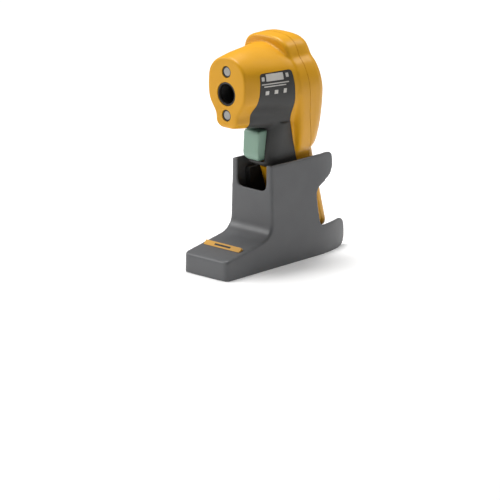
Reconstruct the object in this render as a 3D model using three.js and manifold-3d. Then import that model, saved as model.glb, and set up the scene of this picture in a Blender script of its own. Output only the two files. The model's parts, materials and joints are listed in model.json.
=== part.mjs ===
// Pistol-grip infrared thermometer, docked in its tripod holder.
// Millimetres, +Z up. The nose faces -Y, X runs across, and z = 0 is the face that the holder stands on.
// Before the last line centres the model, y = 0 is the plane of the nose.
import * as THREE from "three";
import { mergeVertices } from "three/addons/utils/BufferGeometryUtils.js";
import Module from "manifold-3d";

const wasm = await Module();
wasm.setup();

// ---------- driving dimensions ----------
const GAP = 0.3; // clearance between neighbouring pieces
const WALL = 2.8; // housing wall, with the overmould where there is one
const SKIN = 1.2; // overmould thickness
const RING_STEPS = 40; // points round each housing section
const HOLDER_WALL = 2.6;
const WELD = 0.004; // vertices closer than this are one
const NEIGHBOURS = [-1, 0, 1].flatMap((x) => [-1, 0, 1].flatMap((y) => [-1, 0, 1].map((z) => [x, y, z])));

const NOSE_Z = 152; // height of the optical axis
const APERTURE_R = 10.25;
const LASER_Z = NOSE_Z + 18.8;
const TORCH_Z = NOSE_Z - 18.4;
const WINDOW_R = 4.85;

const REAR_LEAN = 0.16; // how far the rear face comes forward per millimetre of height
const REAR_Y = 84; // rear face at REAR_Z
const REAR_Z = 150;

const DOOR_SLOPE = 0.339; // how far the handle's front goes back per millimetre down
const DOOR_HALF = 10.5;
const DOOR_TOP = 80;
const DOOR_FRONT_Y = 50; // handle front at DOOR_TOP
const DOOR_BACK_Y = 78.5; // how far the door's lip reaches under the butt
const DOOR_RUN = 1.3; // room behind that lip while the door slides

const TRIGGER = { halfWidth: 8.7, front: 29, back: 45, bottom: 88.5, top: 115.5, travel: 4.5 };

const HOLDER = { front: -26, back: 130, footHeight: 17, wallY: 30.5, top: 88, footHalf: 25.2, topHalf: 22.4 };
const NOTCH_HALF = 16.6;
const BASE_TOP = 3.5;
const BUSH_Y = 8;
const BADGE = { halfLength: 20.2, front: -6.6, crest: -3, back: -1.2, crestZ: 24.2 };

// ---------- colours ----------
const paint = (color, roughness, metalness = 0) =>
  new THREE.MeshStandardMaterial({ color, roughness, metalness });
const YELLOW = () => paint(0xe0a32a, 0.45);
const CHARCOAL = () => paint(0x3c3c3b, 0.7);
const HOLDER_GREY = () => paint(0x66676a, 0.6);
const BLACK = () => paint(0x17140f, 0.6);
const TEAL = () => paint(0x7f9f8b, 0.5);
const GLASS = () => paint(0x9a9b95, 0.1);
const BOARD = () => paint(0x1f5a34, 0.6);
const STEEL = () => paint(0xb9bbbd, 0.35, 1);
const BRASS = () => paint(0xc39a4a, 0.35, 1);

// ---------- booleans ----------
// Joins every vertex to an earlier one that lies within WELD of it, and drops the triangles that collapse.
function weld(positions, triangles) {
  const cells = new Map();
  const kept = [];
  const cell = (p, shift) => p.map((v, i) => Math.floor(v / WELD) + shift[i]).join();
  const target = Array.from({ length: positions.length / 3 }, (_, i) => {
    const p = Array.from(positions.slice(3 * i, 3 * i + 3));
    for (const shift of NEIGHBOURS) {
      const near = (cells.get(cell(p, shift)) ?? []).find((k) =>
        Math.hypot(...kept[k].map((v, a) => v - p[a])) < WELD);
      if (near !== undefined) return near;
    }
    const home = cell(p, [0, 0, 0]);
    cells.set(home, [...(cells.get(home) ?? []), kept.length]);
    return kept.push(p) - 1;
  });
  const whole = [];
  for (let i = 0; i < triangles.length; i += 3) {
    const [a, b, c] = [0, 1, 2].map((k) => target[triangles[i + k]]);
    if (a !== b && b !== c && c !== a) whole.push(a, b, c);
  }
  return new wasm.Manifold(new wasm.Mesh({
    numProp: 3,
    vertProperties: Float32Array.from(kept.flat()),
    triVerts: Uint32Array.from(whole),
  }));
}

function toSolid(shape) {
  if (shape instanceof wasm.Manifold) return shape;
  const bare = shape.clone();
  bare.deleteAttribute("normal");
  bare.deleteAttribute("uv");
  const merged = mergeVertices(bare, 1e-4);
  return weld(merged.attributes.position.array, merged.index.array);
}

// The geometry of a solid's largest body, without the slivers that a cut can leave beside it.
function toGeometry(solid) {
  const mesh = solid.getMesh();
  const bodies = weld(mesh.vertProperties, mesh.triVerts).decompose();
  const largest = bodies.reduce((a, b) => (b.volume() > a.volume() ? b : a)).getMesh();
  const geometry = new THREE.BufferGeometry();
  geometry.setAttribute("position", new THREE.BufferAttribute(Float32Array.from(largest.vertProperties), 3));
  geometry.setIndex(new THREE.BufferAttribute(Uint32Array.from(largest.triVerts), 1));
  return geometry;
}

const fold = (step) => (first, ...rest) => rest.reduce((solid, next) => step(solid, toSolid(next)), toSolid(first));
const union = fold((a, b) => a.add(b));
const difference = fold((a, b) => a.subtract(b));
const intersection = fold((a, b) => a.intersect(b));

// ---------- simple shapes ----------
const block = (w, d, h, x, y, z) => new THREE.BoxGeometry(w, d, h).translate(x, y, z);

// A cylinder along an axis, from one height to another, with its centre at (a, b) on the other two axes in order.
function rod(axis, radius, from, to, a = 0, b = 0, sides = 32) {
  const shape = new THREE.CylinderGeometry(radius, radius, to - from, sides);
  const middle = (from + to) / 2;
  if (axis === "x") return shape.rotateZ(Math.PI / 2).translate(middle, a, b);
  if (axis === "y") return shape.translate(a, middle, b);
  return shape.rotateX(Math.PI / 2).translate(a, b, middle);
}

const tube = (axis, outer, inner, from, to, a = 0, b = 0, sides = 32) =>
  difference(rod(axis, outer, from, to, a, b, sides), rod(axis, inner, from - 1, to + 1, a, b, sides));

// A closed outline through corners [a, b, radius], each corner rounded off.
function outline(corners) {
  const shape = new THREE.Shape();
  corners.forEach(([a, b, radius], i) => {
    const corner = new THREE.Vector2(a, b);
    const before = new THREE.Vector2(...corners.at(i - 1));
    const after = new THREE.Vector2(...corners[(i + 1) % corners.length]);
    const enter = before.sub(corner).setLength(radius).add(corner);
    const leave = after.sub(corner).setLength(radius).add(corner);
    if (i === 0) shape.moveTo(enter.x, enter.y);
    else shape.lineTo(enter.x, enter.y);
    if (radius > 0) shape.quadraticCurveTo(a, b, leave.x, leave.y);
  });
  return shape;
}

const extrude = (shape, depth, curveSegments = 6) =>
  new THREE.ExtrudeGeometry(shape, { depth, bevelEnabled: false, curveSegments });

// An outline in (y, z), carried across X from -half to +half.
function acrossX(shape, half) {
  const cycle = new THREE.Matrix4().set(0, 0, 1, 0, 1, 0, 0, 0, 0, 1, 0, 0, 0, 0, 0, 1);
  return extrude(shape, 2 * half).translate(0, 0, -half).applyMatrix4(cycle);
}

// An outline in (x, z), carried along Y between two planes.
const alongY = (shape, from, to) => extrude(shape, to - from).rotateX(Math.PI / 2).translate(0, to, 0);

const roundedBox = (halfX, low, high, radius) =>
  outline([[-halfX, low, radius], [halfX, low, radius], [halfX, high, radius], [-halfX, high, radius]]);

// ---------- lofted housing ----------
// A ring in (u, v) through a half outline that runs from the middle of one side to the middle of the other.
function ring(half) {
  const mirrored = half.slice(1, -1).reverse().map(([u, v]) => [-u, v]);
  const points = [...half, ...mirrored].map(([u, v]) => new THREE.Vector3(u, v, 0));
  const curve = new THREE.CatmullRomCurve3(points, true, "centripetal");
  return curve.getPoints(RING_STEPS).slice(0, -1).map((p) => new THREE.Vector2(p.x, p.y));
}

// Moves a closed loop of 2D points inwards, or outwards if the amount is negative. The loop runs anticlockwise.
function inset(loop, amount) {
  return loop.map((p, i) => {
    const along = loop[(i + 1) % loop.length].clone().sub(loop.at(i - 1)).normalize();
    return new THREE.Vector2(p.x - along.y * amount, p.y + along.x * amount);
  });
}

// Six times the volume that the triangles enclose, below zero where they face inwards.
function signedVolume(positions, triangles) {
  const corner = (i) => new THREE.Vector3().fromArray(positions, 3 * i);
  let total = 0;
  for (let i = 0; i < triangles.length; i += 3) {
    total += corner(triangles[i]).dot(corner(triangles[i + 1]).cross(corner(triangles[i + 2])));
  }
  return total;
}

// A closed body through a stack of rings, whichever way round they run.
function loft(rings) {
  const count = rings[0].length;
  const last = (rings.length - 1) * count;
  const positions = rings.flat().flatMap((p) => [p.x, p.y, p.z]);
  const centres = [rings[0], rings.at(-1)].map((loop) =>
    loop.reduce((sum, p) => sum.add(p), new THREE.Vector3()).divideScalar(count));
  centres.forEach((p) => positions.push(p.x, p.y, p.z));
  const triangles = [];
  for (let i = 0; i < count; i++) {
    const j = (i + 1) % count;
    for (let r = 0; r < last; r += count) {
      triangles.push(r + i, r + j, r + count + j, r + i, r + count + j, r + count + i);
    }
    triangles.push(j, i, last + count, last + i, last + j, last + count + 1);
  }
  if (signedVolume(positions, triangles) < 0) triangles.reverse();
  const geometry = new THREE.BufferGeometry();
  geometry.setAttribute("position", new THREE.BufferAttribute(Float32Array.from(positions), 3));
  geometry.setIndex(triangles);
  return geometry;
}

// Smooths a stack of rings along its length into the given number of steps.
function smooth(rings, steps) {
  const lines = rings[0].map((_, i) =>
    new THREE.CatmullRomCurve3(rings.map((loop) => loop[i]), false, "centripetal").getPoints(steps));
  return Array.from({ length: steps + 1 }, (_, s) => lines.map((line) => line[s]));
}

// Barrel: [y, half outline in (x, z) from the bottom round the +X side to the top].
const BARREL = [
  [2.6, [[0, 122.6], [7, 122.9], [12, 126.8], [13, 134], [20, 146], [21.5, 158], [19.6, 172], [12, 180.4], [0, 183.8]]],
  [15, [[0, 121], [8, 121.3], [13, 125.5], [14.5, 134], [22.5, 145], [25, 158], [22.8, 172], [13.6, 181.8], [0, 186.2]]],
  [30, [[0, 119], [9, 119.3], [14, 123], [17, 132], [26.5, 144], [29.5, 158], [26.8, 172], [15.6, 182.6], [0, 187.6]]],
  [46, [[0, 116], [10, 116.5], [16, 120], [22, 129], [32, 143], [34.2, 158], [30, 172.5], [18.4, 183], [0, 188.2]]],
  [58, [[0, 114], [11, 115], [18, 118], [25, 127], [33, 142], [35, 157], [31, 172], [18.4, 183], [0, 188.2]]],
];
const NOSE_EDGE = [[0, 2.2], [0.8, 0.7]]; // [y, how far the section is drawn in] where the nose face rounds over

// Pod round the display: one outline in (x, z), and for each section its y at the pod's top, its lean, its inset
// and how fast it sweeps back below SWEEP_TOP.
const SWEEP_TOP = 148;
const POD_OUTLINE = [
  [0, 88], [12, 89.3], [19.5, 96], [27, 112], [31.5, 126], [35, 140], [36.6, 152], [35.2, 163], [31.2, 172.5],
  [26.8, 178.2], [25.2, 182.5], [22, 188.6], [15, 193.2], [0, 195],
];
const POD_TOP = 195;
const REAR_TOP_Y = REAR_Y - REAR_LEAN * (POD_TOP - REAR_Z);
const POD = [
  [46.2, 0.1, 4.8, 0.22],
  [46.8, 0.1, 2, 0.22],
  [49.4, 0.11, 0, 0.22],
  [64, 0.15, 0, 0.08],
  [REAR_TOP_Y - 8, REAR_LEAN, 0.4, 0],
  [REAR_TOP_Y - 3, REAR_LEAN, 2.2, 0],
  [REAR_TOP_Y - 0.8, REAR_LEAN, 4.4, 0],
  [REAR_TOP_Y, REAR_LEAN, 7, 0],
];

// Handle: [z, front y, back y, half width], from the butt up into the pod.
const HANDLE = [
  [20, 74, 112, 10.5],
  [21.5, 71, 114, 12.8],
  [25, 68.65, 114, 13.8],
  [40, 63.56, 110, 14],
  [60, 56.78, 104.7, 14.2],
  [DOOR_TOP, DOOR_FRONT_Y, 99.3, 14.4],
  [83, 42, 98.3, 14.5],
  [86, 36, 97.5, 14.6],
  [90, 35.5, 96.5, 14.8],
  [104, 37.5, 92, 17],
  [122, 41, 86, 21],
];

function barrel(depth) {
  const sections = BARREL.map(([y, half]) => inset(ring(half), depth).map((p) => new THREE.Vector3(p.x, y, p.y)));
  const edge = NOSE_EDGE.map(([y, draw]) =>
    inset(ring(BARREL[0][1]), depth + draw).map((p) => new THREE.Vector3(p.x, y + depth, p.y)));
  const body = smooth(sections, 5);
  return loft(depth > NOSE_EDGE[0][1] ? [edge[0], ...body.slice(1)] : [...edge, ...body]);
}

function pod(depth) {
  const rings = POD.map(([y, lean, draw, sweep], i) => {
    const shift = i === POD.length - 1 ? -depth : (i === 0 ? depth : 0);
    const place = (z) => y + shift + lean * (POD_TOP - z) + sweep * Math.max(0, SWEEP_TOP - z);
    return inset(ring(POD_OUTLINE), depth + draw).map((p) => new THREE.Vector3(p.x, place(p.y), p.y));
  });
  return loft(rings);
}

function handle(depth) {
  const rings = HANDLE.map(([z, front, back, half], i) => {
    const middle = (front + back) / 2;
    const reach = (back - front) / 2;
    const loop = ring([
      [0, middle - reach], [half * 0.62, middle - reach * 0.95], [half * 0.96, middle - reach * 0.72],
      [half, middle], [half * 0.95, middle + reach * 0.72], [half * 0.6, middle + reach * 0.95],
      [0, middle + reach],
    ]);
    const lift = i === 0 ? depth : 0;
    return inset(loop, depth).map((p) => new THREE.Vector3(p.x, p.y, z + lift));
  });
  return loft([rings[0], ...rings.slice(depth > 0 ? 2 : 1)]);
}

const housing = (depth) => union(barrel(depth), pod(depth), handle(depth));

// Line in (y, z) where the front shell and the rear cover meet, from the top down.
const PARTING = new THREE.SplineCurve(
  [[60, 215], [60, 183], [63, 152], [68, 128], [76.5, 108], [84.5, 90], [94, 58], [104, 22], [107, 5]].map(
    ([y, z]) => new THREE.Vector2(y, z)));

function sideOf(parting, edge, shift) {
  const line = parting.getPoints(24).map((p) => new THREE.Vector2(p.x + shift, p.y));
  return acrossX(new THREE.Shape([...line, new THREE.Vector2(edge, 5), new THREE.Vector2(edge, 215)]), 60);
}

// Overmould outline in (y, z): [y, z, radius].
const OVERMOULD = [
  [15, 170, 3], [45.5, 170.5, 3], [47.5, 148, 8], [52, 130, 8], [60, 112, 8], [70, 88, 6], [90, 19, 0],
  [78, 19, 0], [60, 78, 4], [40, 81.5, 2], [33, 86, 1], [20, 100, 0], [14, 112, 0], [14, 132, 6],
];
const overmouldSide = (grow) => {
  const loop = outline(OVERMOULD).getPoints(5);
  const turning = THREE.ShapeUtils.isClockWise(loop) ? 1 : -1;
  return acrossX(new THREE.Shape(inset(loop, turning * grow)), 60);
};

const triggerSlot = (grow) =>
  alongY(roundedBox(TRIGGER.halfWidth + grow, TRIGGER.bottom - grow, TRIGGER.top + grow, 0.4), 22, 50);

const doorRegion = (grow, run) =>
  alongY(roundedBox(DOOR_HALF + grow, 10, DOOR_TOP + grow, 1.5), 42, DOOR_BACK_Y + run);

// ---------- frames for pieces that lie at a slant ----------
const rearFrame = new THREE.Group(); // local y points out of the rear face, local z up along it
rearFrame.position.set(0, REAR_Y, REAR_Z);
rearFrame.rotation.x = Math.atan(REAR_LEAN);
rearFrame.updateMatrix();

const batteryFrame = new THREE.Group(); // local z runs up the handle's front
batteryFrame.position.set(0, 73.9, 54.2);
batteryFrame.rotation.x = Math.atan(DOOR_SLOPE);
batteryFrame.updateMatrix();

const inRear = (geometry) => geometry.applyMatrix4(rearFrame.matrix);

// ---------- rear face layout, in rearFrame ----------
const DISPLAY = { halfWidth: 18.5, low: -4, high: 28.5 };
const BUTTONS = [
  { name: "button_left", x: -15, z: -17 },
  { name: "button_middle", x: 0, z: -19 },
  { name: "button_right", x: 15, z: -17 },
];
const BUTTON_R = 5;
const SCREWS = [[-25, 158], [25, 158], [-17, 112], [17, 112]]; // [x, z] of the housing screws
const SCREW_HEAD_Y = -4; // below the rear face

// ---------- housing ----------
const outer = housing(0);
const inner = housing(WALL);
const shell = difference(outer, inner);

function frontShell() {
  const bosses = SCREWS.map(([x, z]) => rod("y", 3.4, 30, 70, x, z, 20));
  const posts = intersection(union(...bosses), housing(WALL / 2));
  const bores = SCREWS.map(([x, z]) => rod("y", 1.6, 48, 80, x, z, 16));
  const front = intersection(union(shell, posts), sideOf(PARTING, -40, -GAP / 2));
  const overmouldBed = difference(overmouldSide(GAP), housing(SKIN + 2 * GAP), pod(-GAP / 2));
  const cuts = [
    overmouldBed,
    rod("y", APERTURE_R, -5, 20, 0, NOSE_Z, 40),
    rod("y", WINDOW_R + GAP, -5, 8, 0, LASER_Z, 24),
    rod("y", WINDOW_R + GAP, -5, 8, 0, TORCH_Z, 24),
    triggerSlot(2 * GAP),
    doorRegion(GAP, DOOR_RUN),
    ...bores,
  ];
  return difference(front, ...cuts);
}

function rearCover() {
  const back = intersection(shell, sideOf(PARTING, 160, GAP / 2));
  const window = alongY(roundedBox(DISPLAY.halfWidth + GAP, DISPLAY.low - GAP, DISPLAY.high + GAP, 4), -12, 4);
  const wells = BUTTONS.map(({ x, z }) => inRear(rod("y", BUTTON_R + GAP, -12, 4, x, z, 24)));
  const screwHoles = SCREWS.flatMap(([x, z]) => {
    const seat = rearFaceY(z) + SCREW_HEAD_Y;
    return [rod("y", 2.9, seat - 2.1, 110, x, z, 20), rod("y", 1.6, 50, seat, x, z, 16)];
  });
  return difference(back, inRear(window), ...wells, ...screwHoles);
}

const rearFaceY = (z) => REAR_Y - REAR_LEAN * (z - REAR_Z);

function overmould() {
  const skin = difference(outer, housing(SKIN), pod(-2 * GAP));
  const cut = intersection(skin, overmouldSide(0), sideOf(PARTING, -40, -GAP));
  return difference(cut, triggerSlot(GAP), doorRegion(2 * GAP, DOOR_RUN + GAP));
}

function batteryDoor() {
  const skin = difference(outer, housing(2));
  return intersection(skin, doorRegion(0, 0));
}

// ---------- the object ----------
const model = new THREE.Group();

function add(name, shape, material, parent = model) {
  const geometry = shape instanceof wasm.Manifold ? toGeometry(shape) : shape;
  const mesh = new THREE.Mesh(geometry, material);
  mesh.name = name;
  parent.add(mesh);
  return mesh;
}

function addHousing() {
  add("front_shell", frontShell(), YELLOW());
  add("rear_cover", rearCover(), YELLOW());
  add("grip_overmould", overmould(), CHARCOAL());
  add("battery_door", batteryDoor(), YELLOW());
  SCREWS.forEach(([x, z], i) => {
    const head = rearFaceY(z) + SCREW_HEAD_Y;
    const screw = union(rod("y", 2.5, head - 1.8, head, x, z, 14), rod("y", 1.25, head - 16, head - 1, x, z, 8));
    add(`housing_screw_${i + 1}`, screw, STEEL());
  });
}

// Optics in the nose: the infrared lens tube on the axis, the laser above it and the torch below.
function addOptics() {
  const eye = NOSE_Z;
  add("lens_tube", tube("y", 12, APERTURE_R - 1, 3.4, 36, 0, eye, 36), BLACK());
  add("aperture_ring", tube("y", APERTURE_R - GAP, APERTURE_R - 2, 0.4, 3, 0, eye, 36), BLACK());
  add("infrared_lens", rod("y", APERTURE_R - 1.4, 18, 20.5, 0, eye, 32), GLASS());
  add("lens_retaining_ring", tube("y", APERTURE_R - 1.4, APERTURE_R - 3, 15.5, 17.7, 0, eye, 32), BLACK());
  add("thermopile_sensor", union(rod("y", 4.1, 30, 36, 0, eye, 24), rod("y", 4.7, 35, 36.8, 0, eye, 24)), STEEL());
  add("sensor_board", difference(block(22, 1.6, 22, 0, 38, eye), rod("y", 1.2, 35, 40, 8, eye + 8, 12)), BOARD());
  add("laser_window", rod("y", WINDOW_R, 0.6, 1.8, 0, LASER_Z, 28), GLASS());
  add("laser_module", union(rod("y", 3.4, 3.4, 16, 0, LASER_Z, 20), rod("y", 2.6, 15, 20, 0, LASER_Z, 20)), BRASS());
  add("torch_window", rod("y", WINDOW_R, 0.6, 1.8, 0, TORCH_Z, 28), GLASS());
  add("torch_reflector", tube("y", 4.4, 2.9, 2.4, 8.8, 0, TORCH_Z, 24), STEEL());
  add("torch_led", union(rod("y", 2.5, 5, 10, 0, TORCH_Z, 20), rod("y", 3.2, 9.2, 10.4, 0, TORCH_Z, 20)), GLASS());
}

// Everything behind the rear face: local y points out, so the pieces stack inwards from 0.
function addDisplay() {
  const rear = (name, shape, material) => add(name, shape, material, rearFrame);
  const { halfWidth, low, high } = DISPLAY;
  const pane = (grow, from, to) => alongY(roundedBox(halfWidth + grow, low - grow, high + grow, 3.7), from, to);
  rear("display_window", pane(0, -1.4, -0.2), GLASS());
  rear("display_bezel", difference(pane(1, -4.7, -3.2), pane(-2, -6, 0)), BLACK());
  rear("lcd_module", block(2 * halfWidth - 1, 3, high - low - 1, 0, -6.6, (high + low) / 2), GLASS());
  rear("main_board", block(44, 1.6, 60, 0, -11.5, 0), BOARD());
  BUTTONS.forEach(({ name, x, z }) => {
    const cap = rod("y", BUTTON_R, -3.4, 0.8, x, z, 24);
    rear(name, union(cap, rod("y", 2, -6, -3, x, z, 16)), CHARCOAL());
    rear(name.replace("button", "switch"), block(6, 3, 6, x, -9, z), BLACK());
  });
  rear("beeper", rod("y", 5, -17, -12.7, 14, 14, 24), BLACK());
  model.add(rearFrame);
}

// Trigger in its slot, with its return spring and the switch that it presses.
function addTrigger() {
  const { halfWidth, front, back, bottom, top, travel } = TRIGGER;
  const side = outline([[front, bottom, 7], [back, bottom, 2], [back, top, 1], [front + 1.5, top, 2]]);
  add("trigger", acrossX(side, halfWidth), TEAL());
  const springZ = 108;
  const springEnd = back + travel + 3.5;
  add("trigger_spring", helix(2.4, 0.35, back + 0.7, springEnd - 0.7, 5, springZ), STEEL());
  add("trigger_switch", block(10, 5, 7, 0, back + travel + 2.9, 97), BLACK());
  const web = block(16, 2, 26, 0, springEnd + 3.2, 102);
  const cup = rod("y", 3.5, springEnd, springEnd + 3, 0, springZ, 20);
  add("trigger_bracket", union(web, cup), CHARCOAL());
}

// A coil round the Y axis at height z.
function helix(radius, wire, from, to, turns, z) {
  const points = Array.from({ length: turns * 8 + 1 }, (_, i) => {
    const turn = (i / 8) * 2 * Math.PI;
    return new THREE.Vector3(radius * Math.cos(turn), from + ((to - from) * i) / (turns * 8), z + radius * Math.sin(turn));
  });
  const path = new THREE.CatmullRomCurve3(points);
  const section = new THREE.Shape().absarc(0, 0, wire, 0, 2 * Math.PI);
  return new THREE.ExtrudeGeometry(section, { steps: turns * 8, extrudePath: path, curveSegments: 3 });
}

// AA cell in its tray behind the sliding door: local z runs up the handle.
function addBattery() {
  const bay = (name, shape, material) => add(name, shape, material, batteryFrame);
  const cell = union(rod("z", 7.25, -25, 24, 0, 0, 28), rod("z", 2.7, 23, 25.5, 0, 0, 16));
  bay("battery_cell", cell, STEEL());
  const trough = difference(
    rod("z", 9.6, -30, 30, 0, 0, 32), rod("z", 7.7, -28.5, 28.5, 0, 0, 32), block(30, 20, 80, 0, -12.5, 0));
  bay("battery_tray", trough, BLACK());
  bay("battery_spring_contact", rod("z", 3.5, -28.1, -25.4, 0, 0, 20), STEEL());
  bay("battery_plate_contact", block(9, 6, 0.6, 0, 0, 26.4), STEEL());
  model.add(batteryFrame);
}

// ---------- tripod holder ----------
// Half width of the holder's plan at a given y, at the foot: straight, then drawing in round the handle.
const planHalf = (y) => HOLDER.footHalf - THREE.MathUtils.clamp(y - 86, 0, 50) ** 2 / 200;

// A plan outline carried upwards, narrowing evenly from the foot to the top. Draw is how far it is drawn in.
function taperedPlan(draw, front, back, low = -5, high = 100) {
  const steps = Array.from({ length: 9 }, (_, i) => 84 + ((back - 84) * i) / 8);
  const right = [[front, planHalf(0)], ...steps.map((y) => [y, planHalf(y)])];
  const points = [
    ...right.map(([y, half]) => new THREE.Vector2(half - draw, y)),
    ...right.reverse().map(([y, half]) => new THREE.Vector2(draw - half, y)),
  ];
  const plan = extrude(new THREE.Shape(points), high - low).translate(0, 0, low);
  const narrowing = (HOLDER.footHalf - HOLDER.topHalf) / HOLDER.footHalf / HOLDER.top;
  const position = plan.getAttribute("position");
  for (let i = 0; i < position.count; i++) {
    position.setX(i, position.getX(i) * (1 - narrowing * position.getZ(i)));
  }
  return plan;
}

const SLOPE_END = 27.2; // where the foot's slope would meet the front wall
const slopeAt = (y) =>
  HOLDER.footHeight + ((y - HOLDER.front) * (SLOPE_END - HOLDER.footHeight)) / (HOLDER.wallY - HOLDER.front);

function holderShell() {
  const { front, back, footHeight, wallY, top } = HOLDER;
  const side = outline([
    [front, 0, 0], [front, footHeight, 2], [wallY, SLOPE_END, 12], [wallY, top, 3], [110, top - 1, 9],
    [109.5, 69, 8], [86, 57, 6], [90.5, 25, 6], [back, 25, 12], [back, 0, 12],
  ]);
  const hollow = outline([
    [front + HOLDER_WALL, -2, 0], [front + HOLDER_WALL, footHeight - HOLDER_WALL, 2],
    [wallY + HOLDER_WALL, SLOPE_END - HOLDER_WALL, 12], [wallY + HOLDER_WALL, 120, 0], [160, 120, 0], [160, -2, 0],
  ]);
  const body = intersection(acrossX(side, 40), taperedPlan(0, -40, 140));
  const inside = intersection(acrossX(hollow, 40), taperedPlan(HOLDER_WALL, -40, 160));
  const notch = alongY(roundedBox(NOTCH_HALF, 65, 110, 6), wallY - 6, wallY + 6);
  const posts = HOLDER_SCREWS.map(([x, y]) => rod("z", 3.4, BASE_TOP + GAP, slopeAt(Math.min(y, 0)) - 1, x, y, 20));
  const bores = HOLDER_SCREWS.map(([x, y]) => rod("z", 1.7, -1, 14, x, y, 16));
  return difference(union(difference(body, inside, notch), ...posts), ...bores);
}

const HOLDER_SCREWS = [[-18.4, -15], [18.4, -15], [-18.2, 78], [18.2, 78]];

function holderBase() {
  const plate = intersection(
    block(60, 160, BASE_TOP, 0, 38, BASE_TOP / 2),
    taperedPlan(HOLDER_WALL + GAP, HOLDER.front + HOLDER_WALL + GAP, HOLDER.back - 8));
  const rest = block(20, 20, 16, 0, 97, BASE_TOP + 8 - 0.1);
  const boss = rod("z", 9, BASE_TOP - 1, 13, 0, BUSH_Y, 32);
  const ribs = [-12, 12].map((x) => block(2, 90, 6, x, 35, BASE_TOP + 2.9));
  const holes = HOLDER_SCREWS.flatMap(([x, y]) =>
    [rod("z", 1.7, -1, 8, x, y, 16), rod("z", 3.3, -1, 2, x, y, 20)]);
  return difference(union(plate, rest, boss, ...ribs), rod("z", 6.3, -1, 14, 0, BUSH_Y, 32), ...holes);
}

function addHolder() {
  add("holder_shell", holderShell(), HOLDER_GREY());
  add("holder_base", holderBase(), HOLDER_GREY());
  add("tripod_bush", tube("z", 6, 3.2, 0.2, 12, 0, BUSH_Y, 32), BRASS());
  HOLDER_SCREWS.forEach(([x, y], i) => {
    const screw = union(rod("z", 2.9, 0.3, 1.7, x, y, 14), rod("z", 1.4, 1, 12, x, y, 8));
    add(`base_screw_${i + 1}`, screw, STEEL());
  });
  const wedge = outline([
    [BADGE.front, slopeAt(BADGE.front) + GAP, 0.1], [BADGE.back, slopeAt(BADGE.back) + GAP, 0.1],
    [BADGE.crest, BADGE.crestZ, 0.4],
  ]);
  add("badge_plate", acrossX(wedge, BADGE.halfLength), YELLOW());
  [["cradle_left", -1], ["cradle_right", 1]].forEach(([name, side]) => {
    const pad = outline([[50, 40, 2], [58, 40, 2], [82, 40, 3], [80, 78, 3], [44, 78, 3]]);
    const slab = acrossX(pad, 40);
    const band = side > 0 ? block(30, 200, 200, 29.8, 60, 60) : block(30, 200, 200, -29.8, 60, 60);
    const fit = taperedPlan(HOLDER_WALL + GAP, -40, 150);
    add(name, intersection(slab, band, fit), CHARCOAL());
  });
}

addHolder();
addHousing();
addOptics();
addDisplay();
addTrigger();
addBattery();

// Centres the model's footprint on the origin.
const extent = new THREE.Box3().setFromObject(model);
model.position.y = -(extent.min.y + extent.max.y) / 2;

export default model;
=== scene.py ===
"""Pistol-grip infrared thermometer in its tripod holder: the looks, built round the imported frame."""
import json
import math

import bpy
import bmesh
import numpy as np
from mathutils import Matrix, Vector


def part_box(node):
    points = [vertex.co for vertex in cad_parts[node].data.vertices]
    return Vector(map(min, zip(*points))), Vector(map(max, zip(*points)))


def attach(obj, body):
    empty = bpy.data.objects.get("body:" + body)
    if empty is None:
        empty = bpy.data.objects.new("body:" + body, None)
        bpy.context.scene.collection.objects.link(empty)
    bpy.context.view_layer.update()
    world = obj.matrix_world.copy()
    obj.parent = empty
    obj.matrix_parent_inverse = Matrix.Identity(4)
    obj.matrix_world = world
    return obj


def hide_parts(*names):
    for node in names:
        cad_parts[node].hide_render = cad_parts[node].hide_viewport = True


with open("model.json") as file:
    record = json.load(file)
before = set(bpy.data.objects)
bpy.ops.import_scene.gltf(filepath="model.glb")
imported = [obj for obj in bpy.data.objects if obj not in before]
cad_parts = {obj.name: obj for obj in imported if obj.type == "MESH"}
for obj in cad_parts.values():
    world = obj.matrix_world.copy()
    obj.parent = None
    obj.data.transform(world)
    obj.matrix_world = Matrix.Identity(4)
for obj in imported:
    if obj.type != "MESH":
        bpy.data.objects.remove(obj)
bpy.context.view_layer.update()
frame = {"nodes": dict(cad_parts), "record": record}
MM = 0.001

# ---------- driving dimensions, in millimetres from the nose plane, as the CAD has them ----------
NOSE_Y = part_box("front_shell")[0][1]  # the row's y of the nose plane, in metres
WALL = 2.8
SKIN = 1.2
EYE_Z = 152
LASER_Z = EYE_Z + 18.8
TORCH_Z = EYE_Z - 18.4
APERTURE_R = 10.25
WINDOW_R = 4.85
REAR_LEAN = 0.16
REAR_Y = 84
REAR_Z = 150
DOOR_HALF = 10.5
DOOR_TOP = 80
DOOR_BACK_Y = 78.5
TRIGGER = {"half": 8.7, "front": 29, "back": 45, "bottom": 88.5, "top": 115.5}
SEAM = 0.45  # width of the visible joints between shells
PANEL_GAP = 0.15  # the overmould is smaller, and its bed larger, than the outline by this
DOOR_SIDE_GAP = 0.25
DOOR_RUN = 1.3  # room behind the door's lip while the door slides
WINDOW_GAP = 0.2
BUTTON_GAP = 0.3
CUT_HALF = 60  # half width of the prisms that divide the housing
HOUSING_VOXEL = 0.75
HOUSING_ROUNDS = 5  # of smoothing
FLOOR_HALF = 20  # metres
# Camera: angles in degrees; distance and view width in metres; sensor width and target in millimetres.
CAMERA = {"azimuth": 43, "elevation": 15.7, "distance": 4.0, "view_width": 0.4202, "sensor": 36}
CAMERA_TARGET = (-0.5, 29.4, 11.8)
LIGHTS = {  # place and size in metres, power in watts
    "key": ((-1.2, -1.1, 1.0), 0.9, 17),
    "top": ((-0.3, 0.1, 1.6), 0.8, 24),
    "back": ((0.5, 1.4, 1.3), 0.8, 9),
}
WORLD_STRENGTH = 0.2
FLOOR_GLOW = 0.14

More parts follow.
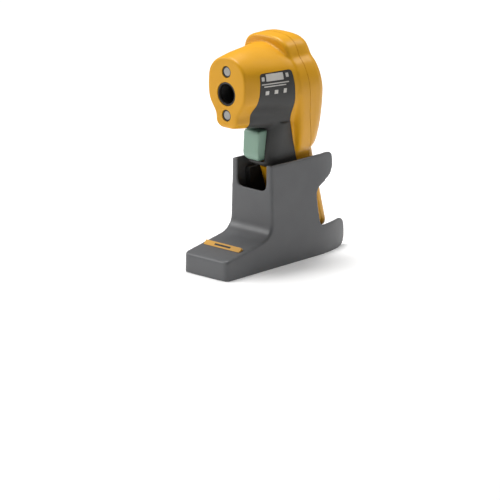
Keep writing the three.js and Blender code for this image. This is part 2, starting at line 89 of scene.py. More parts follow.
# Barrel: for each section, its y and a half outline in (x, z) from the bottom round the +X side to the top.
BARREL = [
    (2.6, [(0, 122.6), (7, 122.9), (12, 126.8), (13, 134), (20, 146), (21.5, 158), (19.6, 172), (12, 180.4),
           (0, 183.8)]),
    (15, [(0, 121), (8, 121.3), (13, 125.5), (14.5, 134), (22.5, 145), (25, 158), (22.8, 172), (13.6, 181.8),
          (0, 186.2)]),
    (30, [(0, 119), (9, 119.3), (14, 123), (17, 132), (26.5, 144), (29.5, 158), (26.8, 172), (15.6, 182.6),
          (0, 187.6)]),
    (46, [(0, 116), (10, 116.5), (16, 120), (22, 129), (32, 143), (34.2, 158), (30, 172.5), (18.4, 183),
          (0, 188.2)]),
    (58, [(0, 114), (11, 115), (18, 118), (25, 127), (33, 142), (35, 157), (31, 172), (18.4, 183),
          (0, 188.2)]),
]
# Pod round the display: a half outline in (x, z), and for each section its y at the top, its lean back per
# millimetre down, how far it is drawn in, and how fast it sweeps back below SWEEP_TOP.
POD_OUTLINE = [
    (0, 88), (12, 89.3), (19.5, 96), (27, 112), (31.5, 126), (35, 140), (36.6, 152), (35.2, 163),
    (31.2, 172.5), (26.8, 178.2), (25.2, 182.5), (22, 188.6), (15, 193.2), (0, 195),
]
POD_TOP = 195
REAR_TOP_Y = REAR_Y - REAR_LEAN * (POD_TOP - REAR_Z)
SWEEP_TOP = 148  # the pod's front sweeps back below this height
POD = [(46.2, 0.1, 6, 0.22), (46.5, 0.1, 2.4, 0.22), (47.2, 0.1, 1, 0.22), (48.6, 0.1, 0.2, 0.22),
       (50.4, 0.11, 0, 0.22), (64, 0.15, 0, 0.08), (REAR_TOP_Y - 8, REAR_LEAN, 0.4, 0),
       (REAR_TOP_Y - 3, REAR_LEAN, 2.2, 0), (REAR_TOP_Y - 0.8, REAR_LEAN, 4.4, 0),
       (REAR_TOP_Y, REAR_LEAN, 7, 0)]
# Handle: [z, front y, back y, half width], from the butt up into the pod.
HANDLE = [
    (20, 74, 112, 10.5), (21.5, 71, 114, 12.8), (25, 68.65, 114, 13.8), (40, 63.56, 110, 14),
    (60, 56.78, 104.7, 14.2), (DOOR_TOP, 50, 99.3, 14.4), (83, 42, 98.3, 14.5), (86, 36, 97.5, 14.6),
    (90, 35.5, 96.5, 14.8), (104, 37.5, 92, 17), (122, 41, 86, 21),
]
# Line in (y, z) where the front shell and the rear cover meet, from the top down.
PARTING = [(60, 215), (60, 183), (63, 152), (68, 128), (76.5, 108), (84.5, 90), (94, 58), (104, 22), (107, 5)]
# Overmould outline: [y, z, corner radius].
OVERMOULD = [
    (15, 170, 3), (45.5, 170.5, 3), (47.5, 148, 8), (52, 130, 8), (60, 112, 8), (70, 88, 6), (90, 19, 0),
    (78, 19, 0), (60, 78, 4), (40, 81.5, 2), (33, 86, 1), (20, 100, 0), (14, 112, 0), (14, 132, 6),
]
HOLDER = {"front": -26, "back": 130, "foot": 17, "wall_y": 30.5, "top": 88}
FOOT_HALF = 25.2
TOP_HALF = 22.4
NOTCH_HALF = 16.6
HOLDER_WALL = 2.6
TAPER_START = 86  # y at which the holder's plan starts to draw in
TAPER_RUN = 50
TAPER_RADIUS = 100
SLOPE_END = 27.2  # where the foot's slope would meet the front wall
BASE_TOP = 3.5
POST_R = 3.4
POST_BORE_R = 1.7
BASE_SCREWS = [(-18.4, -15), (18.4, -15), (-18.2, 78), (18.2, 78)]
HOUSING_SCREWS = [(-25, 158), (25, 158), (-17, 112), (17, 112)]
SCREW_DEPTH = 4  # of the screw heads below the rear face
DISPLAY = {"half": 18.5, "low": -4, "high": 28.5}
BUTTONS = {"button_left": (-15, -17), "button_middle": (0, -19), "button_right": (15, -17)}
BUTTON_R = 5
BUTTON_MARKS = {  # corners of each button's mark, and its turn
    "button_left": (3, -math.pi / 6), "button_middle": (32, 0), "button_right": (3, math.pi / 6),
}
# plain shapes printed on the side panel: [centre y, centre z, length, height]
LABEL = [(28.5, 166.3, 16, 6), (17.6, 165.6, 2.6, 3.4), (40.2, 166.6, 2.6, 3.4), (28.6, 161, 25, 0.9),
         (28.4, 158.9, 20, 0.9), (21.5, 153.4, 3.2, 3.4), (29.8, 153.5, 3.2, 3.4), (37.6, 153.8, 2.6, 3.8)]
BADGE = {"half": 20.2, "front": -6.6, "crest": -3, "back": -1.2, "crest_z": 24.2}


# ---------- mesh helpers ----------
def to_row(points):
    """Points in millimetres from the nose plane, as row coordinates in metres."""
    return np.asarray(points, float) * MM + np.array([0, NOSE_Y, 0])


def make(name, points, faces):
    mesh = bpy.data.meshes.new(name)
    mesh.from_pydata([tuple(p) for p in to_row(points)], [], faces)
    mesh.update()
    bm = bmesh.new()
    bm.from_mesh(mesh)
    bmesh.ops.recalc_face_normals(bm, faces=bm.faces)
    bm.to_mesh(mesh)
    bm.free()
    piece = bpy.data.objects.new(name, mesh)
    bpy.context.scene.collection.objects.link(piece)
    return piece


def settle(piece):
    """Applies a piece's modifiers to its mesh."""
    graph = bpy.context.evaluated_depsgraph_get()
    mesh = bpy.data.meshes.new_from_object(piece.evaluated_get(graph))
    old = piece.data
    piece.modifiers.clear()
    piece.data = mesh
    bpy.data.meshes.remove(old)
    return piece


def discard(*pieces):
    for piece in pieces:
        bpy.data.objects.remove(piece)


def combine(piece, other, operation):
    """Cuts or joins a piece with another, and leaves the other in place."""
    modifier = piece.modifiers.new("cut", "BOOLEAN")
    modifier.object = other
    modifier.operation = operation
    modifier.solver = "MANIFOLD"
    return settle(piece)


def cut(piece, *tools):
    for tool in tools:
        combine(piece, tool, "DIFFERENCE")
        discard(tool)
    return piece


def copy_of(piece, name):
    twin = piece.copy()
    twin.data = piece.data.copy()
    twin.name = name
    bpy.context.scene.collection.objects.link(twin)
    return twin


def soften(piece, voxel, rounds):
    """Joins a piece's overlapping solids into one skin and rounds its edges. The voxel is in millimetres."""
    remesh = piece.modifiers.new("skin", "REMESH")
    remesh.mode = "VOXEL"
    remesh.voxel_size = voxel * MM
    smooth = piece.modifiers.new("smooth", "SMOOTH")
    smooth.factor = 0.5
    smooth.iterations = rounds
    return settle(piece)


def spline(points, steps, closed):
    """A centripetal Catmull-Rom curve through points, with a number of steps between each two."""
    points = np.asarray(points, float)
    if closed:
        padded = np.vstack([points[-1:], points, points[:2]])
    else:
        padded = np.vstack([2 * points[0] - points[1], points, 2 * points[-1] - points[-2]])
    out = []
    for i in range(len(padded) - 3):
        p = padded[i:i + 4]
        t = np.concatenate([[0], np.cumsum(np.linalg.norm(np.diff(p, axis=0), axis=1) ** 0.5)])
        for u in np.linspace(t[1], t[2], steps, endpoint=False):
            a = [(p[k] * (t[k + 1] - u) + p[k + 1] * (u - t[k])) / (t[k + 1] - t[k]) for k in range(3)]
            b = [(a[k] * (t[k + 2] - u) + a[k + 1] * (u - t[k])) / (t[k + 2] - t[k]) for k in range(2)]
            out.append((b[0] * (t[2] - u) + b[1] * (u - t[1])) / (t[2] - t[1]))
    return np.array(out if closed else out + [points[-1]])


def ring(half, steps=8):
    mirrored = [(-u, v) for u, v in half[-2:0:-1]]
    return spline(list(half) + mirrored, steps, True)


def inset(loop, amount):
    along = np.roll(loop, -1, axis=0) - np.roll(loop, 1, axis=0)
    along /= np.linalg.norm(along, axis=1)[:, None]
    return loop + amount * np.stack([-along[:, 1], along[:, 0]], axis=1)


def loft(rings):
    """Points and faces of a closed body through a stack of rings."""
    count = len(rings[0])
    points = np.vstack(rings)
    faces = []
    for r in range(len(rings) - 1):
        for i in range(count):
            j = (i + 1) % count
            faces.append((r * count + i, r * count + j, (r + 1) * count + j, (r + 1) * count + i))
    faces.append(tuple(range(count))[::-1])
    faces.append(tuple(range((len(rings) - 1) * count, len(rings) * count)))
    return points, faces


def merged(*bodies):
    points = []
    faces = []
    for body_points, body_faces in bodies:
        start = sum(len(p) for p in points)
        points.append(np.asarray(body_points, float))
        faces += [tuple(start + i for i in face) for face in body_faces]
    return np.vstack(points), faces


def outline(corners, steps=6):
    """A loop through corners (a, b, radius), each corner rounded off."""
    loop = []
    for i, (a, b, radius) in enumerate(corners):
        corner = np.array([a, b], float)
        before = np.array(corners[i - 1][:2], float) - corner
        after = np.array(corners[(i + 1) % len(corners)][:2], float) - corner
        enter = corner + before / np.linalg.norm(before) * radius
        leave = corner + after / np.linalg.norm(after) * radius
        if radius == 0:
            loop.append(corner)
            continue
        for t in np.linspace(0, 1, steps + 1):
            loop.append((1 - t) ** 2 * enter + 2 * t * (1 - t) * corner + t * t * leave)
    return np.array(loop)


def prism(loop, low, high, axis):
    """Points and faces of a loop carried along an axis: x takes (y, z), y takes (x, z), z takes (x, y)."""
    place = {
        "x": lambda a, b, c: (c, a, b),
        "y": lambda a, b, c: (a, c, b),
        "z": lambda a, b, c: (a, b, c),
    }[axis]
    return loft([np.array([place(a, b, c) for a, b in loop]) for c in (low, high)])


def rounded(half, low, high, radius):
    return outline([(-half, low, radius), (half, low, radius), (half, high, radius), (-half, high, radius)])


def grown(loop, amount):
    area = np.sum(loop[:, 0] * np.roll(loop[:, 1], -1) - np.roll(loop[:, 0], -1) * loop[:, 1])
    return inset(loop, -amount if area > 0 else amount)


def circle(radius, centre=(0, 0), sides=64):
    turn = np.linspace(0, 2 * math.pi, sides, endpoint=False)
    return np.stack([centre[0] + radius * np.cos(turn), centre[1] + radius * np.sin(turn)], axis=1)


def lathe(profile, centre, sides=72):
    """A solid body turned about a line along Y, from a profile (y, radius). Its ends are capped."""
    rings = []
    for y, radius in profile:
        loop = circle(max(radius, 1e-3), centre, sides)
        rings.append(np.stack([loop[:, 0], np.full(len(loop), y), loop[:, 1]], axis=1))
    return loft(rings)


def tube_profile(profile, centre, sides=72):
    """A ring-shaped body: the profile (y, radius) closes on itself and never meets the axis."""
    points, faces = [], []
    for y, radius in profile:
        loop = circle(radius, centre, sides)
        points += [(a, y, b) for a, b in loop]
    for r in range(len(profile)):
        s = (r + 1) % len(profile)
        for i in range(sides):
            j = (i + 1) % sides
            faces.append((r * sides + i, r * sides + j, s * sides + j, s * sides + i))
    return np.array(points), faces


# ---------- housing shapes ----------
def barrel(depth):
    y0, first = BARREL[0]
    sections = [np.column_stack([loop[:, 0], np.full(len(loop), y), loop[:, 1]])
                for y, loop in ((y, inset(ring(half), depth)) for y, half in BARREL)]
    lines = [spline([section[i] for section in sections], 8, False) for i in range(len(sections[0]))]
    body = [np.array([line[s] for line in lines]) for s in range(len(lines[0]))]
    edge = []
    for y, draw in ((0, 2.4), (0.15, 1.5), (0.6, 0.8), (1.4, 0.25)):
        loop = inset(ring(first), depth + draw)
        edge.append(np.column_stack([loop[:, 0], np.full(len(loop), y + depth), loop[:, 1]]))
    if depth > y0 - 1:
        return loft([edge[0]] + body[2:])
    return loft(edge + body)


def pod(depth):
    rings = []
    for i, (y, lean, draw, sweep) in enumerate(POD):
        shift = -depth if i == len(POD) - 1 else (depth if i == 0 else 0)
        loop = inset(ring(POD_OUTLINE), depth + draw)
        swept = sweep * np.maximum(0, SWEEP_TOP - loop[:, 1])
        back = y + shift + lean * (POD_TOP - loop[:, 1]) + swept
        rings.append(np.column_stack([loop[:, 0], back, loop[:, 1]]))
    return loft(rings)


def handle(depth):
    rings = []
    for i, (z, front, back, half) in enumerate(HANDLE):
        middle, reach = (front + back) / 2, (back - front) / 2
        loop = ring([
            (0, middle - reach), (half * 0.62, middle - reach * 0.95), (half * 0.96, middle - reach * 0.72),
            (half, middle), (half * 0.95, middle + reach * 0.72), (half * 0.6, middle + reach * 0.95),
            (0, middle + reach)])
        loop = inset(loop, depth)
        lift = depth if i == 0 else 0
        if depth and i == 1:
            continue
        rings.append(np.column_stack([loop[:, 0], loop[:, 1], np.full(len(loop), z + lift)]))
    return loft(rings)


def housing(name, depth, voxel, rounds):
    return soften(make(name, *merged(barrel(depth), pod(depth), handle(depth))), voxel, rounds)


def side_of_parting(name, edge, shift):
    line = spline(PARTING, 6, False) + np.array([shift, 0])
    return make(name, *prism(np.vstack([line, [(edge, 5), (edge, 215)]]), -CUT_HALF, CUT_HALF, "x"))


def overmould_side(name, grow):
    return make(name, *prism(grown(outline(OVERMOULD), grow), -CUT_HALF, CUT_HALF, "x"))


def trigger_slot(grow):
    loop = rounded(TRIGGER["half"] + grow, TRIGGER["bottom"] - grow, TRIGGER["top"] + grow, 1.2)
    return make("slot", *prism(loop, 22, 50, "y"))


def door_region(grow, back=DOOR_BACK_Y):
    return make("door_region", *prism(rounded(DOOR_HALF + grow, 10, DOOR_TOP + grow, 1.5), 42, back, "y"))


REAR = Matrix.Translation(Vector((0, REAR_Y * MM + NOSE_Y, REAR_Z * MM))) @ Matrix.Rotation(
    math.atan(REAR_LEAN), 4, "X")


def make_rear(name, points, faces):
    """A piece laid out on the rear face: its y points out of the face, and its z runs up along it."""
    piece = make(name, points, faces)
    piece.data.transform(REAR @ Matrix.Translation(Vector((0, -NOSE_Y, 0))))
    return piece


# ---------- camera, floor and light ----------
def add_camera():
    azimuth, elevation = math.radians(CAMERA["azimuth"]), math.radians(CAMERA["elevation"])
    target = Vector(to_row(CAMERA_TARGET))
    distance = CAMERA["distance"]
    away = Vector((math.sin(azimuth) * math.cos(elevation), -math.cos(azimuth) * math.cos(elevation),
                   math.sin(elevation)))
    data = bpy.data.cameras.new("camera")
    data.sensor_width = CAMERA["sensor"]
    data.lens = data.sensor_width * distance / CAMERA["view_width"]
    data.clip_end = 100
    camera = bpy.data.objects.new("camera", data)
    camera.location = target + distance * away
    camera.rotation_euler = (-away).to_track_quat("-Z", "Y").to_euler()
    bpy.context.scene.collection.objects.link(camera)
    bpy.context.scene.camera = camera


def add_light(name, place, size, power):
    data = bpy.data.lights.new(name, "AREA")
    data.shape = "DISK"
    data.size = size
    data.energy = power
    light = bpy.data.objects.new(name, data)
    light.location = Vector(place)
    aim = Vector((0, 0, 0.1)) - light.location
    light.rotation_euler = aim.to_track_quat("-Z", "Y").to_euler()
    bpy.context.scene.collection.objects.link(light)


def add_stage():
    world = bpy.data.worlds.new("studio")
    bpy.context.scene.world = world
    world.use_nodes = True
    world.node_tree.nodes["Background"].inputs["Color"].default_value = (1, 1, 1, 1)
    world.node_tree.nodes["Background"].inputs["Strength"].default_value = WORLD_STRENGTH
    size = FLOOR_HALF
    mesh = bpy.data.meshes.new("floor")
    corners = [(-size, -size, 0), (size, -size, 0), (size, size, 0), (-size, size, 0)]
    mesh.from_pydata(corners, [], [(0, 1, 2, 3)])
    floor = bpy.data.objects.new("floor", mesh)
    bpy.context.scene.collection.objects.link(floor)
    material = bpy.data.materials.new("floor")
    material.use_nodes = True
    shader = material.node_tree.nodes["Principled BSDF"]
    shader.inputs["Base Color"].default_value = (0.86, 0.86, 0.86, 1)
    shader.inputs["Emission Color"].default_value = (1, 1, 1, 1)
    shader.inputs["Emission Strength"].default_value = FLOOR_GLOW
    shader.inputs["Roughness"].default_value = 0.9
    floor.data.materials.append(material)
    for name, (place, width, power) in LIGHTS.items():
        add_light(name, place, width, power)
    bpy.context.scene.view_settings.view_transform = "Standard"


# ---------- materials ----------
def plastic(name, colour, roughness, grain=900, bump=0.05, mottle=0.04, specular=0.5, coat=0.0):
    """Moulded plastic or rubber: fine spark texture, slight cloudiness in colour and gloss."""
    material = bpy.data.materials.new(name)
    material.use_nodes = True
    tree = material.node_tree
    shader = tree.nodes["Principled BSDF"]
    coords = tree.nodes.new("ShaderNodeTexCoord")

    def noise(scale, detail):
        node = tree.nodes.new("ShaderNodeTexNoise")
        node.inputs["Scale"].default_value = scale
        node.inputs["Detail"].default_value = detail
        tree.links.new(coords.outputs["Object"], node.inputs["Vector"])
        return node

    cloud = noise(45, 3)
    ramp = tree.nodes.new("ShaderNodeValToRGB")
    low = [max(c * (1 - mottle), 0) for c in colour]
    high = [min(c * (1 + mottle), 1) for c in colour]
    ramp.color_ramp.elements[0].position = 0.35
    ramp.color_ramp.elements[0].color = (*low, 1)
    ramp.color_ramp.elements[1].position = 0.65
    ramp.color_ramp.elements[1].color = (*high, 1)
    tree.links.new(cloud.outputs["Fac"], ramp.inputs["Fac"])
    tree.links.new(ramp.outputs["Color"], shader.inputs["Base Color"])

    spread = tree.nodes.new("ShaderNodeMapRange")
    spread.inputs["To Min"].default_value = roughness - 0.05
    spread.inputs["To Max"].default_value = roughness + 0.05
    patches = noise(120, 2)
    tree.links.new(patches.outputs["Fac"], spread.inputs["Value"])
    tree.links.new(spread.outputs["Result"], shader.inputs["Roughness"])

    spark = noise(grain * 2, 2)
    relief = tree.nodes.new("ShaderNodeBump")
    relief.inputs["Strength"].default_value = bump
    relief.inputs["Distance"].default_value = 0.0002
    tree.links.new(spark.outputs["Fac"], relief.inputs["Height"])
    tree.links.new(relief.outputs["Normal"], shader.inputs["Normal"])
    shader.inputs["Specular IOR Level"].default_value = specular
    shader.inputs["Coat Weight"].default_value = coat
    return material


def metal(name, colour, roughness):
    material = plastic(name, colour, roughness, grain=500, bump=0.03, mottle=0.08)
    material.node_tree.nodes["Principled BSDF"].inputs["Metallic"].default_value = 1
    return material


def glassy(name, colour, roughness=0.08):
    """Glossy and opaque, smooth under a clear coat."""
    return plastic(name, colour, roughness + 0.05, grain=50, bump=0.0, mottle=0.03, coat=0.6)


MATERIALS = {
    "yellow_plastic": plastic("yellow_plastic", (0.70, 0.335, 0.006), 0.4, mottle=0.02, bump=0.12,
                              specular=0.35),
    "grip_rubber": plastic("grip_rubber", (0.032, 0.032, 0.031), 0.55, bump=0.3, mottle=0.08),
    "holder_plastic": plastic("holder_plastic", (0.098, 0.10, 0.104), 0.42, bump=0.25, mottle=0.04),
    "black_plastic": plastic("black_plastic", (0.012, 0.011, 0.010), 0.5, bump=0.1),
    "black_rubber": plastic("black_rubber", (0.02, 0.02, 0.02), 0.8, bump=0.3),
    "button_rubber": plastic("button_rubber", (0.06, 0.06, 0.06), 0.7, bump=0.2),
    "trigger_plastic": plastic("trigger_plastic", (0.22, 0.35, 0.27), 0.45, mottle=0.03, bump=0.1),
    "badge_plastic": plastic("badge_plastic", (0.62, 0.33, 0.06), 0.4, mottle=0.03),
    "window_glass": glassy("window_glass", (0.30, 0.29, 0.27)),
    "display_glass": glassy("display_glass", (0.10, 0.11, 0.10)),
    "lens_glass": glassy("lens_glass", (0.02, 0.017, 0.015)),
    "lcd_glass": glassy("lcd_glass", (0.32, 0.36, 0.30), 0.2),
    "circuit_board": plastic("circuit_board", (0.02, 0.12, 0.05), 0.45, grain=200, mottle=0.2),
    "plated_steel": metal("plated_steel", (0.6, 0.6, 0.6), 0.3),
    "brass_insert": metal("brass_insert", (0.62, 0.45, 0.18), 0.35),
    "label_print": plastic("label_print", (0.62, 0.60, 0.56), 0.5, bump=0.02),
    "battery_can": metal("battery_can", (0.5, 0.5, 0.52), 0.35),
}
SLOT_OF = {part["node"]: part["material_slot"] for part in frame["record"]["subparts"]}


def finish_piece(piece, slot, body, *nodes, sharp=35, material=None):
    """Gives a piece its material, its body and the CAD nodes that it stands for."""
    piece.data.materials.clear()
    piece.data.materials.append(MATERIALS[material or slot])
    piece.data.shade_smooth()
    piece.data.set_sharp_from_angle(angle=math.radians(sharp))
    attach(piece, body)
    if nodes:
        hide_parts(*nodes)
    return piece


def paint_nodes():
    for name, node in frame["nodes"].items():
        node.data.materials.clear()
        node.data.materials.append(MATERIALS[SLOT_OF[name]])


# ---------- housing pieces ----------
def pushed(piece, name, distance):
    """A copy of a closed skin, moved outwards by a distance in millimetres."""
    twin = copy_of(piece, name)
    count = 3 * len(twin.data.vertices)
    places, normals = np.empty(count, np.float32), np.empty(count, np.float32)
    twin.data.vertices.foreach_get("co", places)
    twin.data.vertex_normals.foreach_get("vector", normals)
    twin.data.vertices.foreach_set("co", places + normals * distance * MM)
    twin.data.update()
    return twin


def add_label(skin):
    """Plain pale shapes printed on the side panel, in place of any symbols or small print."""
    print_skin = pushed(skin, "print_skin", 0.07)
    print_core = pushed(skin, "print_core", -0.2)
    combine(print_skin, print_core, "DIFFERENCE")
    for i, (centre_y, centre_z, long, high) in enumerate(LABEL):
        loop = np.array([(centre_y, centre_z)]) + rounded(long / 2, -high / 2, high / 2, 0.4)
        window = make("window", *prism(loop, 15, 50, "x"))
        mark = combine(copy_of(print_skin, f"label_{i + 1}"), window, "INTERSECT")
        discard(window)
        finish_piece(mark, "lcd_glass", "thermometer", material="label_print")
    discard(print_skin, print_core)


def add_housing():
    """Front shell, rear cover, overmould and battery door, all cut from the same softened skin."""
    skin = housing("skin", 0, HOUSING_VOXEL, HOUSING_ROUNDS)
    add_label(skin)
    inner = housing("inner", WALL, 1.6, 3)
    shell = combine(copy_of(skin, "shell"), inner, "DIFFERENCE")
    bed = overmould_side("bed", PANEL_GAP)
    bed_core = housing("bed_core", SKIN + 0.4, 1.2, 5)
    pod_wall = soften(make("pod_wall", *pod(-0.05)), 0.9, 6)
    combine(bed, bed_core, "DIFFERENCE")
    combine(bed, pod_wall, "DIFFERENCE")

    front = copy_of(shell, "housing_front")
    combine(front, side_of_parting("front_region", -40, -SEAM / 2), "INTERSECT")
    hole = WINDOW_R + WINDOW_GAP
    cut(front, bed,
        make("eye", *lathe([(-5, APERTURE_R), (20, APERTURE_R)], (0, EYE_Z))),
        make("laser_hole", *lathe([(-5, hole), (8, hole)], (0, LASER_Z))),
        make("torch_hole", *lathe([(-5, hole), (8, hole)], (0, TORCH_Z))),
        trigger_slot(0.6), door_region(DOOR_SIDE_GAP, DOOR_BACK_Y + DOOR_RUN))
    finish_piece(front, "yellow_plastic", "thermometer", "front_shell")

    rear = copy_of(shell, "housing_rear")
    combine(rear, side_of_parting("rear_region", 160, SEAM / 2), "INTERSECT")
    half, low, high = DISPLAY["half"], DISPLAY["low"], DISPLAY["high"]
    pane = rounded(half + WINDOW_GAP, low - WINDOW_GAP, high + WINDOW_GAP, 4)
    well = BUTTON_R + BUTTON_GAP
    wells = [make_rear("well", *lathe([(-12, well), (4, well)], place)) for place in BUTTONS.values()]
    cut(rear, make_rear("window_hole", *prism(pane, -12, 4, "y")), *wells)
    for x, z in HOUSING_SCREWS:
        seat = REAR_Y - REAR_LEAN * (z - REAR_Z) - SCREW_DEPTH
        cut(rear, make("screw_well", *lathe([(seat - 2.1, 2.9), (110, 2.9)], (x, z), 40)))
    finish_piece(rear, "yellow_plastic", "thermometer", "rear_cover")

    core = housing("core", SKIN, 1.2, 5)
    pod_edge = soften(make("pod_edge", *pod(-0.3)), 0.9, 6)
    grip = combine(skin, core, "DIFFERENCE")
    combine(grip, overmould_side("grip_side", -PANEL_GAP), "INTERSECT")
    combine(grip, pod_edge, "DIFFERENCE")
    combine(grip, side_of_parting("grip_region", -40, -SEAM), "INTERSECT")
    cut(grip, trigger_slot(0.3), door_region(2 * DOOR_SIDE_GAP, DOOR_BACK_Y + DOOR_RUN + 0.3))
    grip.name = "grip_cover"
    finish_piece(grip, "grip_rubber", "thermometer", "grip_overmould")

    door = housing("door", 0, HOUSING_VOXEL, HOUSING_ROUNDS)
    combine(door, housing("door_core", 2, 1.6, 3), "DIFFERENCE")
    combine(door, door_region(0), "INTERSECT")
    door.name = "battery_hatch"
    finish_piece(door, "yellow_plastic", "battery_door", "battery_door")
    leftovers = [o for o in bpy.data.objects if o.type == "MESH" and o.name.split(".")[0] in (
        "inner", "shell", "bed_core", "pod_wall", "pod_edge", "core", "front_region", "rear_region",
        "grip_side", "grip_region", "door_core", "door_region")]
    discard(*leftovers)


# ---------- holder ----------
def plan_half(y):
    """Half width of the holder's plan at the foot: even at first, then drawing in towards the back."""
    return FOOT_HALF - min(max(0, y - TAPER_START), TAPER_RUN) ** 2 / (2 * TAPER_RADIUS)


def slope_at(y):
    rise = (SLOPE_END - HOLDER["foot"]) / (HOLDER["wall_y"] - HOLDER["front"])
    return HOLDER["foot"] + (y - HOLDER["front"]) * rise


def tapered_plan(name, draw, front, back, corner, low=-12, high=112):
    """The holder's plan carried upwards, narrowing evenly from the foot to the top."""
    far = [(y, plan_half(y) - draw) for y in np.linspace(84, back, 12)]
    right = [(half, y, 0) for y, half in far]
    left = [(-half, y, 0) for y, half in reversed(far)]
    half = FOOT_HALF - draw
    plan = outline([(-half, front, corner), (half, front, corner), *right, *left])
    points, faces = prism(plan, low, high, "z")
    narrowing = (FOOT_HALF - TOP_HALF) / FOOT_HALF / HOLDER["top"]
    points[:, 0] *= 1 - narrowing * points[:, 2]
    return make(name, points, faces)


def add_holder():
    """A softened blank, trimmed to its side outline, hollowed and notched, with posts for the base screws."""
    front, back, wall_y, top = HOLDER["front"], HOLDER["back"], HOLDER["wall_y"], HOLDER["top"]
    foot = HOLDER["foot"]
    blank = outline([(front, -9, 0), (front, foot, 2), (wall_y, SLOPE_END, 13), (wall_y, 104, 0),
                     (150, 104, 0), (150, -9, 0)])
    holder = make("holder_body", *prism(blank, -40, 40, "x"))
    plan = tapered_plan("plan", 0, front, 146, 5)
    combine(holder, plan, "INTERSECT")
    soften(holder, 1.1, 9)
    side = outline([(front - 2, 0, 0), (front - 2, foot + 12, 0), (wall_y - 8, top, 0), (wall_y - 2, top, 0),
                    (110, top - 1, 9), (109.5, 69, 8), (86, 57, 6), (90.5, 25, 6), (back, 25, 12),
                    (back, 0, 12)], 12)
    edge = make("edge", *prism(side, -40, 40, "x"))
    combine(holder, edge, "INTERSECT")
    wall = HOLDER_WALL
    room = outline([(front + wall, -12, 0), (front + wall, foot - wall, 2),
                    (wall_y + wall, SLOPE_END - wall, 12), (wall_y + wall, 120, 0), (160, 120, 0),
                    (160, -12, 0)])
    inside = make("inside", *prism(room, -40, 40, "x"))
    inner_plan = tapered_plan("inner_plan", wall, -40, 159, 0, -14, 122)
    combine(inside, inner_plan, "INTERSECT")
    soften(inside, 1.2, 6)
    notch = make("notch", *prism(rounded(NOTCH_HALF, 65, 110, 7), wall_y - 6, wall_y + 6, "y"))
    cut(holder, inside, notch)
    soften(holder, 0.75, 4)
    discard(plan, edge, inner_plan)
    for x, y in BASE_SCREWS:
        post_top = slope_at(min(y, 0)) - 1.5
        post = make("post", *prism(circle(POST_R, (x, y), 40), BASE_TOP + 0.3, post_top, "z"))
        combine(holder, post, "UNION")
        discard(post)
        cut(holder, make("bore", *prism(circle(POST_BORE_R, (x, y), 32), -1, 14, "z")))
    finish_piece(holder, "holder_plastic", "holder", "holder_shell", sharp=50)


# ---------- small pieces ----------
def bevelled(piece, width):
    bevel = piece.modifiers.new("bevel", "BEVEL")
    bevel.width = width * MM
    bevel.segments = 2
    bevel.limit_method = "ANGLE"
    bevel.angle_limit = math.radians(30)
    return settle(piece)


def add_trigger():
    """A rounded block, hollowed a little where the fingertip rests, with full corners at the bottom."""
    half, front, back = TRIGGER["half"], TRIGGER["front"], TRIGGER["back"]
    bottom, top = TRIGGER["bottom"], TRIGGER["top"]
    side = outline([(front, bottom, 9), (back, bottom, 1), (back, top, 0.5), (front + 1.5, top, 3)], 12)
    trigger = make("trigger_blade", *prism(side, -half, half, "x"))
    face = outline([(-half, bottom, 7), (half, bottom, 7), (half, top, 2), (-half, top, 2)], 12)
    sight = make("sight", *prism(face, front - 5, back + 5, "y"))
    combine(trigger, sight, "INTERSECT")
    discard(sight)
    soften(trigger, 0.5, 12)
    middle = (bottom + top) / 2 + 2
    scoop = []
    for z in np.linspace(middle - 11, middle + 11, 23):
        depth = 0.8 * math.cos((z - middle) / 11 * math.pi / 2) ** 2
        across = [(x, front - 3) for x in (-6.2, 6.2)]
        floor = [(x, front + 0.08 + depth * math.cos(x / 6.2 * math.pi / 2))
                 for x in np.linspace(6.2, -6.2, 17)]
        scoop.append(np.array([(x, y, z) for x, y in across + floor]))
    cut(trigger, make("scoop", *loft(scoop)))
    finish_piece(trigger, "trigger_plastic", "trigger", "trigger", sharp=50)


def add_optics():
    """The aperture's ring and ribbed tube, the lens deep inside, and the two windows with their dark rims."""
    ring_profile = [(0.45, APERTURE_R - 0.4), (0.2, APERTURE_R - 0.9), (0.3, APERTURE_R - 1.5),
                    (1.2, APERTURE_R - 2), (3, APERTURE_R - 2), (3, APERTURE_R - 0.3)]
    collar = make("aperture_collar", *tube_profile(ring_profile, (0, EYE_Z)))
    finish_piece(collar, "black_plastic", "thermometer", "aperture_ring")
    bore = [(3.4, 12), (3.4, APERTURE_R - 1)]
    for step in range(12):
        y = 4 + step
        bore += [(y, APERTURE_R - 1), (y + 0.5, APERTURE_R - 0.7)]
    bore += [(36, APERTURE_R - 1), (36, 12)]
    baffle = make("baffle_tube", *tube_profile(bore, (0, EYE_Z)))
    finish_piece(baffle, "black_plastic", "thermometer", "lens_tube", sharp=20)
    lens = [(20.5, 0), (20.5, APERTURE_R - 1.6), (18.9, APERTURE_R - 1.5)]
    lens += [(18 + 0.8 * (r / 8.7) ** 2, r) for r in np.linspace(8.6, 0, 12)]
    eye = make("lens", *lathe(lens, (0, EYE_Z)))
    finish_piece(eye, "lens_glass", "thermometer", "infrared_lens")
    for name, node, z in (("laser_pane", "laser_window", LASER_Z), ("torch_pane", "torch_window", TORCH_Z)):
        profile = [(1.8, 0), (1.8, WINDOW_R), (0.9, WINDOW_R), (0.6, WINDOW_R - 0.35)]
        profile += [(0.6, WINDOW_R - 1), (1.0, WINDOW_R - 1.3), (1.0, 0)]
        pane = make(name, *lathe(profile, (0, z)))
        finish_piece(pane, "window_glass", "thermometer", node)
        pane.data.materials.append(MATERIALS["black_plastic"])
        for face in pane.data.polygons:
            away = face.center.xz - Vector((0, z * MM))
            if away.length > (WINDOW_R - 1.35) * MM:
                face.material_index = 1


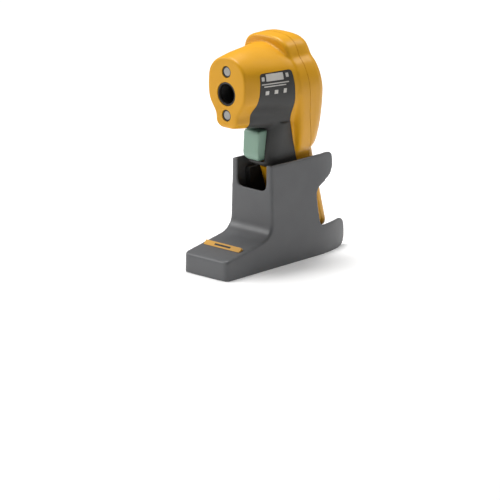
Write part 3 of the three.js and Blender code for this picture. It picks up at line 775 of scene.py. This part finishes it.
def recess(radius, depth, low, place, axis="y"):
    """The six-sided hollow in a screw's head."""
    return make("recess", *prism(circle(radius, place, 6), low, low + depth, axis))


def add_screws():
    """Pan heads with a hexagonal recess."""
    for i, (x, z) in enumerate(HOUSING_SCREWS):
        head = REAR_Y - REAR_LEAN * (z - REAR_Z) - SCREW_DEPTH
        profile = [(head - 16, 0), (head - 15, 1.25), (head - 1.8, 1.25), (head - 1.8, 2.5)]
        profile += [(head - 0.6, 2.5), (head - 0.2, 2.2), (head, 1.6), (head, 0)]
        screw = make(f"case_screw_{i + 1}", *lathe(profile, (x, z), 40))
        cut(screw, recess(1.1, 2, head - 1, (x, z)))
        finish_piece(screw, "plated_steel", "thermometer", f"housing_screw_{i + 1}")
    for i, (x, y) in enumerate(BASE_SCREWS):
        profile = [(12, 0), (11, 1.4), (1.7, 1.4), (1.7, 2.9), (0.8, 2.9), (0.4, 2.5), (0.3, 1.8), (0.3, 0)]
        points, faces = lathe(profile, (x, y), 40)
        screw = make(f"foot_screw_{i + 1}", points[:, [0, 2, 1]], faces)
        cut(screw, recess(1.2, 2, -0.7, (x, y), axis="z"))
        finish_piece(screw, "plated_steel", "holder", f"base_screw_{i + 1}")


def add_rear_face():
    """An opaque display pane with its pale field laid over it, and three domed buttons with plain marks."""
    half, low, high = DISPLAY["half"], DISPLAY["low"], DISPLAY["high"]
    pane = make_rear("display_pane", *prism(rounded(half, low, high, 3.7), -1.4, -0.2, "y"))
    bevelled(pane, 0.3)
    finish_piece(pane, "display_glass", "thermometer", "display_window")
    field = make_rear("display_field", *prism(rounded(half - 3, low + 3, high - 3, 1), -0.4, -0.12, "y"))
    finish_piece(field, "lcd_glass", "thermometer")
    for name, place in BUTTONS.items():
        rim = [(-6, 0), (-6, 2), (-3.4, 2), (-3.4, BUTTON_R), (0.1, BUTTON_R)]
        dome = [(0.8 - 0.6 * (r / BUTTON_R) ** 3, r) for r in np.linspace(BUTTON_R - 0.2, 0, 14)]
        cap = make_rear(f"{name}_cap", *lathe(rim + dome, place, 56))
        finish_piece(cap, "button_rubber", name, name)
        sides, turn = BUTTON_MARKS[name]
        turned = np.array([[math.cos(turn), math.sin(turn)], [-math.sin(turn), math.cos(turn)]])
        shape = circle(1.7, sides=sides) @ turned
        mark = make_rear(f"{name}_mark", *prism(shape + np.array(place), 0.5, 0.84, "y"))
        finish_piece(mark, "lcd_glass", name, material="label_print")


def add_badge():
    """A wedge whose face leans back, with a plain darker bar along it in place of any lettering."""
    front, crest, crest_z = BADGE["front"], BADGE["crest"], BADGE["crest_z"]
    low = slope_at(front) + 0.3
    heel = (BADGE["back"], slope_at(BADGE["back"]) + 0.3, 0.1)
    wedge = outline([(front, low, 0.1), heel, (crest, crest_z, 0.4)])
    plate = make("badge", *prism(wedge, -BADGE["half"], BADGE["half"], "x"))
    bevelled(plate, 0.25)
    finish_piece(plate, "badge_plastic", "holder", "badge_plate")
    bar, bar_faces = prism(rounded(9, -0.85, 0.85, 0.4), -0.1, 0.06, "z")
    lean = math.atan2(crest_z - low, crest - front)
    turned = np.column_stack([bar[:, 0], bar[:, 1] * math.cos(lean) - bar[:, 2] * math.sin(lean),
                              bar[:, 1] * math.sin(lean) + bar[:, 2] * math.cos(lean)])
    middle = np.array([0, (front + crest) / 2, (low + crest_z) / 2])
    mark = make("badge_bar", turned + middle, bar_faces)
    finish_piece(mark, "black_plastic", "holder")


# ---------- build ----------
add_camera()
add_stage()
paint_nodes()
add_housing()
add_holder()
add_trigger()
add_optics()
add_screws()
add_rear_face()
add_badge()
